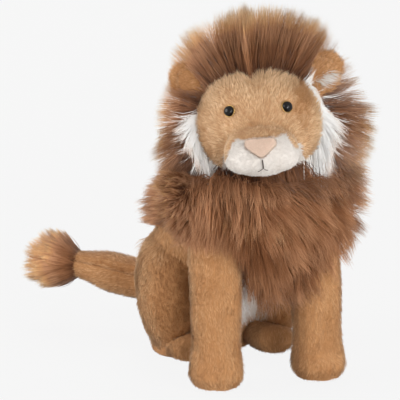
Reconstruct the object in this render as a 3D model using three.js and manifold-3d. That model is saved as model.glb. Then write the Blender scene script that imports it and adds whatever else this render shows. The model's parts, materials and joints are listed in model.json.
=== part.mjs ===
// A plush lion that sits on a weighted seat, with a long mane, a turned head and a tufted tail.
// Millimetres, +Z up. The lion faces -Y, its left side is +X, and the origin is on the floor under the seat.
import * as THREE from "three";
import { mergeVertices } from "three/addons/utils/BufferGeometryUtils.js";
import Module from "manifold-3d";

const wasm = await Module();
wasm.setup();

// Gaps, cuts and runs that all pieces share.
const SEAM_GAP = 0.3;
const SWING_GAP = 0.8;
const SOLE_CUT = 0.5;
const BEYOND = 500;

// The trunk leans forward from the seat to the neck, where a level seam carries the head.
const NECK = { y: -95, z: 165, width: 66, depth: 62, sink: 30 };
const TORSO = {
  width: 104,
  depth: 100,
  seatY: 8,
  runBelow: 14,
  runAbove: 28,
  leanShares: [[0, 0, 0], [0, 0, 0.28], [0, 0.25, 0.53], [0, 0.65, 0.76], [0, 1, 1]],
  widthShares: [0.9, 0.98, 1, 0.92, 0.72],
  depthShares: [0.92, 1, 0.96, 0.84, 0.72],
  fullness: 0.6,
};
const SEAT = { panel: 3, bagWidth: 58, bagDepth: 56, bagHeight: 34 };
const BELLY = { width: 50, bottomZ: 22, height: 92, thickness: 2.2 };

// The limbs: upright forelegs, rounded thighs and flat feet that stick out under them.
const FORELEG = {
  width: 41,
  depth: 40,
  pawX: 43,
  pawY: -121,
  shoulderX: 34,
  shoulderY: -94,
  topZ: 160,
  reachShares: [[0, 0, 0], [0.08, 0.03, 0.25], [0.14, 0.12, 0.5], [0.3, 0.42, 0.75], [1, 1, 1]],
  widthShares: [1.5, 1, 1, 1.04, 1],
  depthShares: [1.75, 0.96, 1, 1.06, 1],
  fullness: 0.42,
};
const HAUNCH = {
  width: 44,
  depth: 88,
  footX: 41,
  footY: -6,
  hipX: 36,
  hipY: -14,
  bulgeX: 44,
  topZ: 108,
  widthShares: [0.72, 0.95, 1, 0.94, 0.7],
  depthShares: [0.86, 1, 1, 0.9, 0.7],
  fullness: 0.8,
};
const HIND_FOOT = {
  width: 37,
  height: 29,
  x: 33.5,
  toeY: -57,
  heelY: 10,
  splay: 3,
  widthShares: [0.8, 0.9, 1, 1.04],
  heightShares: [0.9, 0.95, 1, 1],
  fullness: 0.45,
};

// The head sits on the neck seam, turned to the lion's right and rolled a little.
const HEAD = {
  x: 0,
  y: -104,
  z: 207,
  yaw: -20.5,
  roll: -4.5,
  width: 101,
  depth: 92,
  height: 88,
  widthShares: [0.92, 1, 1, 0.96, 0.84],
  depthShares: [0.9, 0.98, 1, 0.98, 0.9],
  fullness: 0.84,
};
const SNOUT = {
  width: 60,
  height: 40,
  rootY: -18,
  rootZ: -9,
  tipY: -70,
  tipZ: -14,
  widthShares: [0.78, 0.9, 1, 0.98],
  heightShares: [0.92, 1, 1, 0.8],
  fullness: 0.5,
};
const MUZZLE = {
  topY: -50,
  bottomY: -28,
  padWidth: 31,
  padHeight: 24,
  padDepth: 26,
  padX: 14,
  padY: -57,
  padZ: -15,
};
const NOSE = { width: 24, height: 15, thickness: 3.6, z: -5, tilt: 26, crown: 26, corner: 4 };
const EYE = {
  x: 22.8,
  z: 18.6,
  dome: 4.4,
  domeHeight: 3.6,
  rim: 5,
  rimThickness: 0.9,
  shank: 1.7,
  shankLength: 9,
  sink: 1.3,
};
const WASHER = { radius: 6, thickness: 1.2, depth: 3.2 };
const EAR = {
  x: 39.5,
  y: 3,
  z: 25.5,
  splay: 53,
  width: 34,
  height: 34,
  thickness: 9,
  fold: 20,
  widthShares: [0.9, 1, 0.98, 0.72],
  thicknessShares: [1, 0.95, 0.8, 0.62],
  fullness: 0.62,
};
const EAR_DISH = { width: 23, height: 24, depth: 7, z: 17, inset: 1.2 };

// The long pile stands round the head and the neck as one soft bell, sewn from panels.
const MANE = {
  width: 174,
  depth: 112,
  backset: 7,
  topZ: 88,
  bottomZ: -126,
  widthShares: [0.8, 0.97, 1, 0.95, 0.86],
  depthShares: [0.86, 0.98, 1, 0.97, 0.9],
  fullness: 0.46,
  hairlineY: -14,
  ruffY: 4,
  napeY: 28,
  crownSpread: 104,
  bibSpread: 100,
  capeThickness: 16,
  capeZ: 116,
  capeSpread: 92,
};

// The tail leaves the rump to the lion's right and ends in a tuft.
const TAIL = {
  x: -12,
  z: 38,
  sink: 3,
  heading: 46,
  swing: 25,
  width: 32,
  length: 86,
  rise: 10,
  widthShares: [0.98, 1.02, 1, 0.9, 0.82],
  fullness: 0.4,
  fanLength: 44,
};
const TUFT = {
  width: 46,
  length: 50,
  drift: -10,
  rise: 4,
  sink: 9,
  widthShares: [0.66, 0.94, 1.1, 1.08, 0.86],
  fullness: 0.62,
};

// Colours of the cloths and the eyes.
const TAN = 0xcb9f6c;
const WHITE = 0xf0ebe4;
const BROWN = 0x966446;
const PINK = 0xe6c8b9;
const BLACK = 0x14100c;
const NYLON = 0xe8e4da;
const PELLET = 0xd8d2c4;

const SIDES = [["left", 1], ["right", -1]];
const v = (x, y, z) => new THREE.Vector3(x, y, z);
const radians = THREE.MathUtils.degToRad;

// Turns a closed geometry into a solid that can be joined and cut.
function solid(geometry) {
  const bare = geometry.clone();
  bare.deleteAttribute("normal");
  bare.deleteAttribute("uv");
  const merged = mergeVertices(bare);
  return new wasm.Manifold(new wasm.Mesh({
    numProp: 3,
    vertProperties: new Float32Array(merged.attributes.position.array),
    triVerts: new Uint32Array(merged.index.array),
  }));
}

// Turns a solid back into a geometry.
function geometryOf(body) {
  const mesh = body.getMesh();
  const geometry = new THREE.BufferGeometry();
  geometry.setAttribute("position", new THREE.BufferAttribute(new Float32Array(mesh.vertProperties), 3));
  geometry.setIndex(new THREE.BufferAttribute(new Uint32Array(mesh.triVerts), 1));
  return geometry;
}

// The largest of the separate pieces that a cut leaves.
function largest(body) {
  const pieces = body.decompose();
  return pieces.reduce((best, piece) => (piece.volume() > best.volume() ? piece : best));
}

const moved = (body, matrix) => solid(geometryOf(body).applyMatrix4(matrix));
const joined = (bodies) => bodies.reduce((whole, body) => whole.add(body));

// A box between two corners, and the half spaces that cuts are made with.
function box(low, high) {
  const size = high.clone().sub(low);
  const centre = low.clone().add(high).multiplyScalar(0.5);
  return solid(new THREE.BoxGeometry(size.x, size.y, size.z).translate(centre.x, centre.y, centre.z));
}
const above = (z) => box(v(-BEYOND, -BEYOND, z), v(BEYOND, BEYOND, z + BEYOND));
const below = (z) => box(v(-BEYOND, -BEYOND, z - BEYOND), v(BEYOND, BEYOND, z));
const between = (yLow, yHigh) => box(v(-BEYOND, yLow, -BEYOND), v(BEYOND, yHigh, BEYOND));

// A sector round an upright axis, from one angle to another in degrees, drawn in by half a seam on each side.
function sector(from, to) {
  const middle = radians((from + to) / 2);
  const half = radians((to - from) / 2);
  const drawIn = SEAM_GAP / 2 / Math.sin(half);
  const outline = new THREE.Shape();
  outline.moveTo(0, 0);
  outline.lineTo(BEYOND * Math.cos(middle - half), BEYOND * Math.sin(middle - half));
  outline.absarc(0, 0, BEYOND, middle - half, middle + half, false);
  return new THREE.ExtrudeGeometry(outline, { depth: 2 * BEYOND, bevelEnabled: false, curveSegments: 6 })
    .translate(drawIn * Math.cos(middle), drawIn * Math.sin(middle), -BEYOND);
}

// A path between two points, each further point given in shares of the way along X, Y and Z.
function path(from, to, shares) {
  return shares.map(([x, y, z]) => v(
    THREE.MathUtils.lerp(from.x, to.x, x),
    THREE.MathUtils.lerp(from.y, to.y, y),
    THREE.MathUtils.lerp(from.z, to.z, z),
  ));
}

// A stuffed form: a ball drawn out along a spine, whose half width and half depth follow their shares.
// A fullness below 1 makes its ends blunter than a ball's, and a grown form cuts a seam into its neighbour.
function stuffed({ spine, width, depth, widthShares, depthShares, fullness, around, along }, grow = 0) {
  const line = new THREE.CatmullRomCurve3(spine);
  const section = new THREE.CatmullRomCurve3(widthShares.map((share, i) => v(share, depthShares[i], 0)));
  const geometry = new THREE.SphereGeometry(1, around, along);
  const points = geometry.attributes.position;
  for (let i = 0; i < points.count; i++) {
    const unit = v().fromBufferAttribute(points, i);
    const share = THREE.MathUtils.clamp((1 + unit.y) / 2, 0, 1);
    const tangent = line.getTangentAt(share);
    const front = v(1, 0, 0).cross(tangent).normalize();
    const side = tangent.clone().cross(front);
    const ring = Math.hypot(unit.x, unit.z);
    const swell = ring > 0 ? ring ** (fullness - 1) : 0;
    const shares = section.getPoint(share);
    const point = line.getPointAt(share)
      .addScaledVector(side, unit.x * ((swell * shares.x * width) / 2 + grow))
      .addScaledVector(front, unit.z * ((swell * shares.y * depth) / 2 + grow))
      .addScaledVector(tangent, unit.y * grow);
    points.setXYZ(i, point.x, point.y, point.z);
  }
  return solid(geometry);
}

// Where a ray first meets a solid, and the way the skin faces there.
function skinPoint(body, from, way) {
  const target = new THREE.Mesh(geometryOf(body), new THREE.MeshBasicMaterial({ side: THREE.DoubleSide }));
  const [hit] = new THREE.Raycaster(from, way.clone().normalize()).intersectObject(target);
  const outward = hit.face.normal.clone();
  return { point: hit.point, outward: outward.dot(way) > 0 ? outward.negate() : outward };
}

// How much wider, as a share of a width, the room gets at a distance from the line that a piece swings on.
const fanShare = (distance, swing, width) =>
  1 / Math.cos(radians(swing)) + (2 * distance * Math.tan(radians(swing))) / width;

const lion = new THREE.Group();

// Adds a piece to the group that carries it.
function piece(name, body, colour, group, roughness = 0.95) {
  const material = new THREE.MeshStandardMaterial({ color: colour, roughness, metalness: 0 });
  const mesh = new THREE.Mesh(geometryOf(largest(body)), material);
  mesh.name = name;
  group.add(mesh);
}

// The torso's form, and the limbs' forms, which the larger ones cut.
const torsoForm = {
  ...TORSO,
  spine: path(
    v(0, TORSO.seatY, -TORSO.runBelow),
    v(0, NECK.y, NECK.z + TORSO.runAbove),
    TORSO.leanShares,
  ),
  around: 24,
  along: 14,
};
const forelegForm = (side) => ({
  ...FORELEG,
  spine: path(
    v(side * FORELEG.pawX, FORELEG.pawY, -SOLE_CUT),
    v(side * FORELEG.shoulderX, FORELEG.shoulderY, FORELEG.topZ),
    FORELEG.reachShares,
  ),
  around: 16,
  along: 12,
});
const haunchForm = (side) => ({
  ...HAUNCH,
  spine: [
    v(side * HAUNCH.footX, HAUNCH.footY, -SOLE_CUT),
    v(side * HAUNCH.bulgeX, (HAUNCH.footY + HAUNCH.hipY) / 2, HAUNCH.topZ / 2),
    v(side * HAUNCH.hipX, HAUNCH.hipY, HAUNCH.topZ),
  ],
  around: 16,
  along: 10,
});
const footForm = (side) => ({
  spine: [
    v(side * HIND_FOOT.x, HIND_FOOT.heelY, HIND_FOOT.height / 2 - SOLE_CUT),
    v(side * (HIND_FOOT.x + HIND_FOOT.splay), HIND_FOOT.toeY, HIND_FOOT.height / 2 - SOLE_CUT),
  ],
  width: HIND_FOOT.width,
  depth: HIND_FOOT.height,
  widthShares: HIND_FOOT.widthShares,
  depthShares: HIND_FOOT.heightShares,
  fullness: HIND_FOOT.fullness,
  around: 14,
  along: 8,
});
const floor = above(0);
const torsoCutter = stuffed(torsoForm, SEAM_GAP);

// The tail swings about an upright line at its root, which lies just inside the rump's skin.
const rump = skinPoint(stuffed(torsoForm), v(TAIL.x, BEYOND, TAIL.z), v(0, -1, 0)).point;
const tailGroup = new THREE.Group();
tailGroup.position.set(rump.x, rump.y - TAIL.sink, rump.z);
tailGroup.rotation.z = radians(TAIL.heading);
lion.add(tailGroup);
tailGroup.updateMatrixWorld(true);

const tailForm = {
  spine: [
    v(0, 0, 0),
    v(0, TAIL.length / 3, TAIL.rise / 4),
    v(0, TAIL.length, TAIL.rise),
    v(TUFT.drift / 2, TAIL.length + TUFT.length / 2, TAIL.rise + TUFT.rise / 2),
  ],
  width: TAIL.width,
  depth: TAIL.width,
  widthShares: TAIL.widthShares,
  depthShares: TAIL.widthShares,
  fullness: TAIL.fullness,
  around: 14,
  along: 12,
};
const tuftForm = {
  spine: [
    v(0, TAIL.length - TUFT.sink, TAIL.rise),
    v(TUFT.drift / 3, TAIL.length + TUFT.length / 2, TAIL.rise + TUFT.rise / 2),
    v(TUFT.drift, TAIL.length + TUFT.length, TAIL.rise + TUFT.rise),
  ],
  width: TUFT.width,
  depth: TUFT.width,
  widthShares: TUFT.widthShares,
  depthShares: TUFT.widthShares,
  fullness: TUFT.fullness,
  around: 14,
  along: 8,
};
const tailBall = (grow) => solid(new THREE.SphereGeometry(TAIL.width / 2 + grow, 18, 10)
  .rotateX(Math.PI / 2));
piece("tail", stuffed(tailForm).add(tailBall(0)), TAN, tailGroup);
piece("tail_tuft", stuffed(tuftForm).subtract(stuffed(tailForm, SEAM_GAP)), BROWN, tailGroup);

// The room that the tail needs to swing: a round socket at its root, and a fan that widens behind the rump.
const tailRoom = moved(joined([
  tailBall(2 * SEAM_GAP),
  stuffed({
    ...tailForm,
    spine: [v(0, 0, 0), v(0, TAIL.fanLength, (TAIL.rise * TAIL.fanLength) / TAIL.length)],
    widthShares: [0, TAIL.fanLength].map((run) => fanShare(run, TAIL.swing, TAIL.width)),
    depthShares: [1, fanShare(0, TAIL.swing, TAIL.width)],
    fullness: 0.2,
    around: 12,
    along: 4,
  }, 2 * SWING_GAP),
]), tailGroup.matrixWorld);

// The pellet bag fills a pocket over the seat panel, which closes the torso from below.
const bagForm = {
  spine: [v(0, TORSO.seatY, SEAT.panel + SEAM_GAP), v(0, TORSO.seatY, SEAT.panel + SEAT.bagHeight)],
  width: SEAT.bagWidth,
  depth: SEAT.bagDepth,
  widthShares: [1, 1],
  depthShares: [1, 1],
  fullness: 0.6,
  around: 14,
  along: 8,
};
const bagBase = SEAT.panel + 2 * SEAM_GAP;
const bagPocket = stuffed(bagForm, SEAM_GAP).intersect(above(bagBase - SEAM_GAP));

// The belly panel is an oval of white cloth let into the torso's front.
const bellyOval = (grow) => solid(new THREE.CylinderGeometry(1, 1, BEYOND, 20)
  .scale(BELLY.width / 2 + grow, 1, BELLY.height / 2 + grow)
  .translate(0, -BEYOND / 2, BELLY.bottomZ + BELLY.height / 2));
const underBelly = (grow) => stuffed(torsoForm, -BELLY.thickness - grow);

piece("seat_panel", stuffed(torsoForm).intersect(floor).intersect(below(SEAT.panel)), TAN, lion);
piece("pellet_bag", stuffed(bagForm).intersect(above(bagBase)), PELLET, lion);
piece("belly_panel", stuffed(torsoForm).intersect(bellyOval(0)).subtract(underBelly(0)), WHITE, lion);
piece(
  "torso",
  stuffed(torsoForm)
    .intersect(above(SEAT.panel + SEAM_GAP))
    .intersect(below(NECK.z - SEAM_GAP))
    .subtract(bagPocket)
    .subtract(bellyOval(SEAM_GAP).subtract(underBelly(SEAM_GAP)))
    .subtract(tailRoom),
  TAN,
  lion,
);

// The limbs, each cut by the torso and by the larger limb beside it.
for (const [name, side] of SIDES) {
  const foreleg = stuffed(forelegForm(side)).subtract(torsoCutter).intersect(floor);
  piece(`foreleg_${name}`, foreleg.intersect(below(NECK.z - SEAM_GAP)), TAN, lion);
  const haunch = stuffed(haunchForm(side)).subtract(torsoCutter).subtract(tailRoom).intersect(floor);
  piece(`haunch_${name}`, haunch.subtract(stuffed(forelegForm(side), SEAM_GAP)), TAN, lion);
  const foot = stuffed(footForm(side)).subtract(stuffed(haunchForm(side), SEAM_GAP)).subtract(torsoCutter);
  piece(`hind_foot_${name}`, foot.intersect(floor).intersect(between(-BEYOND, HIND_FOOT.heelY)), TAN, lion);
}

// The collar of the mane hangs from the neck seam over the chest, the shoulders and the back.
const maneForm = (x, y, z) => ({
  ...MANE,
  spine: [v(x, y, z + MANE.bottomZ), v(x, y, z + MANE.topZ)],
  around: 24,
  along: 16,
});
const trunkCutter = joined([
  torsoCutter,
  ...SIDES.flatMap(([, side]) => [
    stuffed(forelegForm(side), SEAM_GAP),
    stuffed(haunchForm(side), SEAM_GAP),
  ]),
]);
const collar = stuffed(maneForm(HEAD.x, HEAD.y + MANE.backset, HEAD.z))
  .add(stuffed(torsoForm, MANE.capeThickness).intersect(above(MANE.capeZ)))
  .intersect(below(NECK.z - SEAM_GAP))
  .subtract(trunkCutter);
const collarPanels = {
  mane_bib: [-90 - MANE.bibSpread / 2, -90 + MANE.bibSpread / 2],
  mane_shoulder_left: [-90 + MANE.bibSpread / 2, 90 - MANE.capeSpread / 2],
  mane_cape: [90 - MANE.capeSpread / 2, 90 + MANE.capeSpread / 2],
  mane_shoulder_right: [90 + MANE.capeSpread / 2, 270 - MANE.bibSpread / 2],
};
for (const [name, [from, to]] of Object.entries(collarPanels)) {
  piece(name, collar.intersect(solid(sector(from, to).translate(0, NECK.y, 0))), BROWN, lion);
}

// The head's group stands at the head's centre, and all of the head's pieces stay above the neck seam.
const headGroup = new THREE.Group();
headGroup.position.set(HEAD.x, HEAD.y, HEAD.z);
headGroup.rotation.set(0, radians(HEAD.roll), radians(HEAD.yaw), "ZYX");
lion.add(headGroup);
headGroup.updateMatrixWorld(true);
const toHead = headGroup.matrixWorld.clone().invert();
const aboveNeck = moved(above(NECK.z), toHead);

const headForm = {
  spine: [v(0, 0, -HEAD.height / 2), v(0, 0, HEAD.height / 2)],
  width: HEAD.width,
  depth: HEAD.depth,
  widthShares: HEAD.widthShares,
  depthShares: HEAD.depthShares,
  fullness: HEAD.fullness,
  around: 24,
  along: 14,
};
const neckStub = (grow) => moved(stuffed({
  spine: [v(0, NECK.y, NECK.z - NECK.sink), v(0, NECK.y, NECK.z + NECK.sink)],
  width: NECK.width,
  depth: NECK.depth,
  widthShares: [1, 1],
  depthShares: [1, 1],
  fullness: 0.5,
  around: 20,
  along: 8,
}, grow), toHead);
const skull = stuffed(headForm).add(neckStub(0)).intersect(aboveNeck);
const skullCutter = stuffed(headForm, SEAM_GAP).add(neckStub(SEAM_GAP));

// The snout is one stuffed form: its bridge is tan, and its front, with two cheek pads, is white.
const snoutForm = {
  spine: [v(0, SNOUT.rootY, SNOUT.rootZ), v(0, SNOUT.tipY, SNOUT.tipZ)],
  width: SNOUT.width,
  depth: SNOUT.height,
  widthShares: SNOUT.widthShares,
  depthShares: SNOUT.heightShares,
  fullness: SNOUT.fullness,
  around: 20,
  along: 10,
};
const padForm = (side) => ({
  spine: [
    v(side * MUZZLE.padX, MUZZLE.padY + MUZZLE.padDepth / 2, MUZZLE.padZ),
    v(side * MUZZLE.padX, MUZZLE.padY - MUZZLE.padDepth / 2, MUZZLE.padZ),
  ],
  width: MUZZLE.padWidth,
  depth: MUZZLE.padHeight,
  widthShares: [1, 1],
  depthShares: [1, 1],
  fullness: 0.7,
  around: 12,
  along: 6,
});
const muzzleLean = Math.atan2(MUZZLE.bottomY - MUZZLE.topY, SNOUT.height);
const muzzleFront = (gap) => solid(new THREE.BoxGeometry(2 * BEYOND, BEYOND, 2 * BEYOND)
  .translate(0, -BEYOND / 2 + gap, 0)
  .rotateX(muzzleLean)
  .translate(0, (MUZZLE.topY + MUZZLE.bottomY) / 2, SNOUT.rootZ));
const snoutWhole = (grow) => joined([
  stuffed(snoutForm, grow),
  ...SIDES.map(([, side]) => stuffed(padForm(side), grow)),
]);
const muzzle = snoutWhole(0).intersect(muzzleFront(0)).subtract(skullCutter).intersect(aboveNeck);
const bridge = stuffed(snoutForm).subtract(muzzleFront(SEAM_GAP)).subtract(skullCutter).intersect(aboveNeck);

// The nose is a crowned pad with three rounded corners, seated on the top of the muzzle.
function nosePad() {
  const corners = [
    v(-NOSE.width / 2 + NOSE.corner, NOSE.height / 2 - NOSE.corner, 0),
    v(0, -NOSE.height / 2 + NOSE.corner, 0),
    v(NOSE.width / 2 - NOSE.corner, NOSE.height / 2 - NOSE.corner, 0),
  ];
  const outline = new THREE.Shape();
  corners.forEach((corner, i) => {
    const before = corners[(i + 2) % 3].clone().sub(corner);
    const after = corners[(i + 1) % 3].clone().sub(corner);
    const start = Math.atan2(before.y, before.x) + Math.PI / 2;
    const end = Math.atan2(after.y, after.x) - Math.PI / 2;
    outline.absarc(corner.x, corner.y, NOSE.corner, start, end, false);
  });
  const shape = { depth: 2 * NOSE.crown, bevelEnabled: false, curveSegments: 5 };
  const pad = solid(new THREE.ExtrudeGeometry(outline, shape).translate(0, 0, -NOSE.crown));
  const crown = solid(new THREE.SphereGeometry(NOSE.crown, 16, 12)
    .scale(1, 1, NOSE.thickness / NOSE.crown));
  return pad.intersect(crown);
}
const noseSeat = skinPoint(stuffed(snoutForm), v(0, -BEYOND, NOSE.z), v(0, 1, 0)).point;
const noseMatrix = new THREE.Matrix4()
  .makeTranslation(noseSeat.x, noseSeat.y, noseSeat.z)
  .multiply(new THREE.Matrix4().makeRotationX(radians(90 - NOSE.tilt)));
const nose = moved(nosePad(), noseMatrix).subtract(snoutWhole(SEAM_GAP));

// An eye is turned on its axis: a shank, a rim and a black dome. Its washer grips the shank inside the head.
function eyeSolid(grow) {
  const profile = [
    v(0, -EYE.shankLength - grow, 0),
    v(EYE.shank + grow, -EYE.shankLength - grow, 0),
    v(EYE.shank + grow, -grow, 0),
    v(EYE.rim + grow, -grow, 0),
    v(EYE.rim + grow, EYE.rimThickness + grow, 0),
    v(EYE.dome + grow, EYE.rimThickness + grow, 0),
  ];
  const steps = 4;
  for (let i = 1; i <= steps; i++) {
    const turn = (i / steps) * (Math.PI / 2);
    const radius = (EYE.dome + grow) * Math.cos(turn);
    profile.push(v(i === steps ? 0 : radius, EYE.rimThickness + grow + EYE.domeHeight * Math.sin(turn), 0));
  }
  return solid(new THREE.LatheGeometry(profile, 16));
}
const disc = (radius, low, high) => solid(new THREE.CylinderGeometry(radius, radius, high - low, 16)
  .translate(0, (low + high) / 2, 0));
const washerTop = -WASHER.depth;
const washer = disc(WASHER.radius, washerTop - WASHER.thickness, washerTop)
  .subtract(disc(EYE.shank + SEAM_GAP, washerTop - 2 * WASHER.thickness, 0));
const eyePocket = joined([
  eyeSolid(SEAM_GAP),
  disc(EYE.rim + SEAM_GAP, -SEAM_GAP, EYE.rimThickness + EYE.domeHeight),
  disc(WASHER.radius + SEAM_GAP, washerTop - WASHER.thickness - SEAM_GAP, washerTop + SEAM_GAP),
]);
const eyeSeat = skinPoint(skull, v(EYE.x, -BEYOND, EYE.z), v(0, 1, 0));
function eyeGroup(side) {
  const group = new THREE.Group();
  const outward = v(side * eyeSeat.outward.x, eyeSeat.outward.y, eyeSeat.outward.z);
  group.position.set(side * eyeSeat.point.x, eyeSeat.point.y, eyeSeat.point.z);
  group.position.addScaledVector(outward, -EYE.sink);
  group.quaternion.setFromUnitVectors(v(0, 1, 0), outward);
  group.updateMatrix();
  return group;
}

// An ear: a roll along its base, on which it folds, and a blade whose front is hollowed for the lining.
const earRoll = (grow) => stuffed({
  spine: [v(0, 0, -(EAR.width * EAR.widthShares[0]) / 2), v(0, 0, (EAR.width * EAR.widthShares[0]) / 2)],
  width: EAR.thickness,
  depth: EAR.thickness,
  widthShares: [1, 1],
  depthShares: [1, 1],
  fullness: 0.3,
  around: 12,
  along: 6,
}, grow);
const turnToX = new THREE.Matrix4().makeRotationY(Math.PI / 2);
const earBlade = (grow) => stuffed({
  spine: [v(0, 0, -EAR.thickness), v(0, 0, EAR.height)],
  width: EAR.width,
  depth: EAR.thickness,
  widthShares: EAR.widthShares,
  depthShares: EAR.thicknessShares,
  fullness: EAR.fullness,
  around: 16,
  along: 8,
}, grow).intersect(above(0));
const earForm = (grow) => moved(earRoll(grow), turnToX).add(earBlade(grow));
const earDish = (grow) => stuffed({
  spine: [
    v(0, -EAR.thickness / 2, EAR_DISH.z - EAR_DISH.height / 2),
    v(0, -EAR.thickness / 2, EAR_DISH.z + EAR_DISH.height / 2),
  ],
  width: EAR_DISH.width,
  depth: EAR_DISH.depth,
  widthShares: [1, 1],
  depthShares: [1, 1],
  fullness: 0.9,
  around: 12,
  along: 6,
}, grow);
const earShell = earForm(0).subtract(earDish(SEAM_GAP));
const earLining = earDish(0)
  .intersect(between(-EAR.thickness / 2 + EAR_DISH.inset, BEYOND))
  .intersect(earForm(0));
const earSeat = skinPoint(skull, v(EAR.x, EAR.y, EAR.z).multiplyScalar(3), v(-EAR.x, 0, -EAR.z)).point;
function earGroup(side) {
  const group = new THREE.Group();
  group.position.set(side * earSeat.x, earSeat.y, earSeat.z);
  group.rotation.y = side * radians(EAR.splay);
  group.updateMatrix();
  return group;
}
// The room that an ear needs to fold: its roll's groove, and a fan of the ear's outline round its base.
const earHalf = EAR.width / 2 + SWING_GAP;
const earReach = EAR.height + EAR.thickness;
const earOutline = new THREE.Shape();
earOutline.moveTo(-earHalf, 0);
earOutline.lineTo(earHalf, 0);
earOutline.absarc(0, EAR.height - EAR.width / 2, earHalf, 0, Math.PI, false);
const fanHalf = (height) =>
  (EAR.thickness / 2 + SWING_GAP) / Math.cos(radians(EAR.fold)) + height * Math.tan(radians(EAR.fold));
const earFan = new THREE.Shape();
earFan.moveTo(-fanHalf(0), 0);
earFan.lineTo(fanHalf(0), 0);
earFan.lineTo(fanHalf(earReach), earReach);
earFan.lineTo(-fanHalf(earReach), earReach);
const runOf = (outline, curveSegments) =>
  new THREE.ExtrudeGeometry(outline, { depth: 2 * BEYOND, bevelEnabled: false, curveSegments })
    .translate(0, 0, -BEYOND);
const acrossX = new THREE.Matrix4().makeBasis(v(0, 1, 0), v(0, 0, 1), v(1, 0, 0));
const earRoom = solid(runOf(earOutline, 9).rotateX(Math.PI / 2))
  .intersect(solid(runOf(earFan).applyMatrix4(acrossX)))
  .add(moved(earRoll(SEAM_GAP), turnToX));

// The clearing that shows the ears: the mane's hairline runs behind them.
const earClearing = solid(new THREE.CylinderGeometry(1, 1, BEYOND, 18)
  .scale(EAR.width / 2 + SWING_GAP, 1, EAR.height / 2 + EAR.thickness / 2)
  .translate(0, EAR.thickness / 2 - BEYOND / 2, EAR.height / 2));

// The head with its pockets for the eyes and the ears, and everything that it carries.
let head = skull;
let maneRoom = skullCutter.add(snoutWhole(SEAM_GAP));
for (const [name, side] of SIDES) {
  const eye = eyeGroup(side);
  const ear = earGroup(side);
  headGroup.add(eye, ear);
  piece(`eye_${name}`, eyeSolid(0), BLACK, eye, 0.1);
  piece(`eye_washer_${name}`, washer, NYLON, eye, 0.5);
  piece(`ear_${name}`, earShell, TAN, ear);
  piece(`ear_lining_${name}`, earLining, WHITE, ear);
  head = head.subtract(moved(eyePocket, eye.matrix)).subtract(moved(earRoom, ear.matrix));
  maneRoom = maneRoom.add(moved(earRoom.add(earClearing), ear.matrix));
}
piece("head", head, TAN, headGroup);
piece("snout", bridge, TAN, headGroup);
piece("muzzle", muzzle, WHITE, headGroup);
piece("nose", nose, PINK, headGroup);

// The mane's panels round the head: the crown, the white ruffs, the sides behind them and the nape.
const bell = stuffed(maneForm(0, MANE.backset, 0)).intersect(aboveNeck).subtract(maneRoom);
const ring = bell.intersect(between(MANE.hairlineY, MANE.napeY - SEAM_GAP));
const headSector = (from, to) => solid(sector(from, to).rotateX(Math.PI / 2));
const crownEdge = 90 - MANE.crownSpread / 2;
piece("mane_nape", bell.intersect(between(MANE.napeY, BEYOND)), BROWN, headGroup);
piece("mane_crown", ring.intersect(headSector(crownEdge, 180 - crownEdge)), BROWN, headGroup);
for (const [name, side] of SIDES) {
  const flank = side > 0 ? headSector(-90, crownEdge) : headSector(180 - crownEdge, 270);
  const half = ring.intersect(flank);
  piece(`ruff_${name}`, half.intersect(between(MANE.hairlineY, MANE.ruffY)), WHITE, headGroup);
  piece(`mane_side_${name}`, half.intersect(between(MANE.ruffY + SEAM_GAP, BEYOND)), BROWN, headGroup);
}

export default lion;
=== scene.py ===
import json
import math

import bmesh
import bpy
import numpy as np
from mathutils import Matrix, Vector, kdtree, noise
from mathutils.bvhtree import BVHTree


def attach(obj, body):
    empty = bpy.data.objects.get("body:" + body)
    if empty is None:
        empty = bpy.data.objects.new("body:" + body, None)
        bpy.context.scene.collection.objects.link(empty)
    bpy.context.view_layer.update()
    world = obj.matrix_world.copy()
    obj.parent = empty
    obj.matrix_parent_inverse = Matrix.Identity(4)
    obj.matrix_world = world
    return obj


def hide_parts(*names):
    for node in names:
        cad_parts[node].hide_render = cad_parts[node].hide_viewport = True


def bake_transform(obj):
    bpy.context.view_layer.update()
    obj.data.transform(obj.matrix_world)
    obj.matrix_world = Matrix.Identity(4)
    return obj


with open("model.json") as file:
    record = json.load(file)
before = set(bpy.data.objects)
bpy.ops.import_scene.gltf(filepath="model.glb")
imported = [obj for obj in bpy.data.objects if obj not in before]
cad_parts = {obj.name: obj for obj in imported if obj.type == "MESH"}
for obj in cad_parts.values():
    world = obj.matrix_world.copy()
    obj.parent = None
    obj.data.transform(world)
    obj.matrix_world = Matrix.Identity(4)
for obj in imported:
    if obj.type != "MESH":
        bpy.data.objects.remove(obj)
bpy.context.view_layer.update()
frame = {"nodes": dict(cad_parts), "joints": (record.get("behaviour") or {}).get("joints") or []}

MM = 0.001
SIDES = {"left": 1, "right": -1}
DOWN = np.array([0.0, 0.0, -1.0])

# Without a seed, Blender's noise module takes one from the clock.
noise.seed_set(1)

# The camera: its angle, and the point of the lion that it holds at the middle of the frame.
CAMERA = {"azimuth": -20.5, "elevation": 14, "distance": 6.0, "aim": (-24.3 * MM, -36 * MM, 130 * MM)}
FRAME_WIDTH = 316 * MM
SENSOR = 36.0

# The head's centre and turn, the neck seam, and the tail's root and heading.
HEAD_CENTRE = (0, -104 * MM, 207 * MM)
HEAD_YAW = -20.5
HEAD_ROLL = -4.5
TAIL_ROOT = (-12 * MM, 47.4 * MM, 38 * MM)
TAIL_HEADING = 46

# The eyes' axes and seats, in the row frame.
EYE_AXIS = {"left": (0.20928, -0.89267, 0.39917), "right": (-0.79622, -0.51673, 0.31468)}
EYE_PLACE = {"left": (7.1, -143.85, 226.8), "right": (-34.15, -128.4, 223.35)}

# The name of the map that a strand's colour is read from: across it its tone, and up it the way to its tip.
STRAND_MAP = "OFBake"


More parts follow.
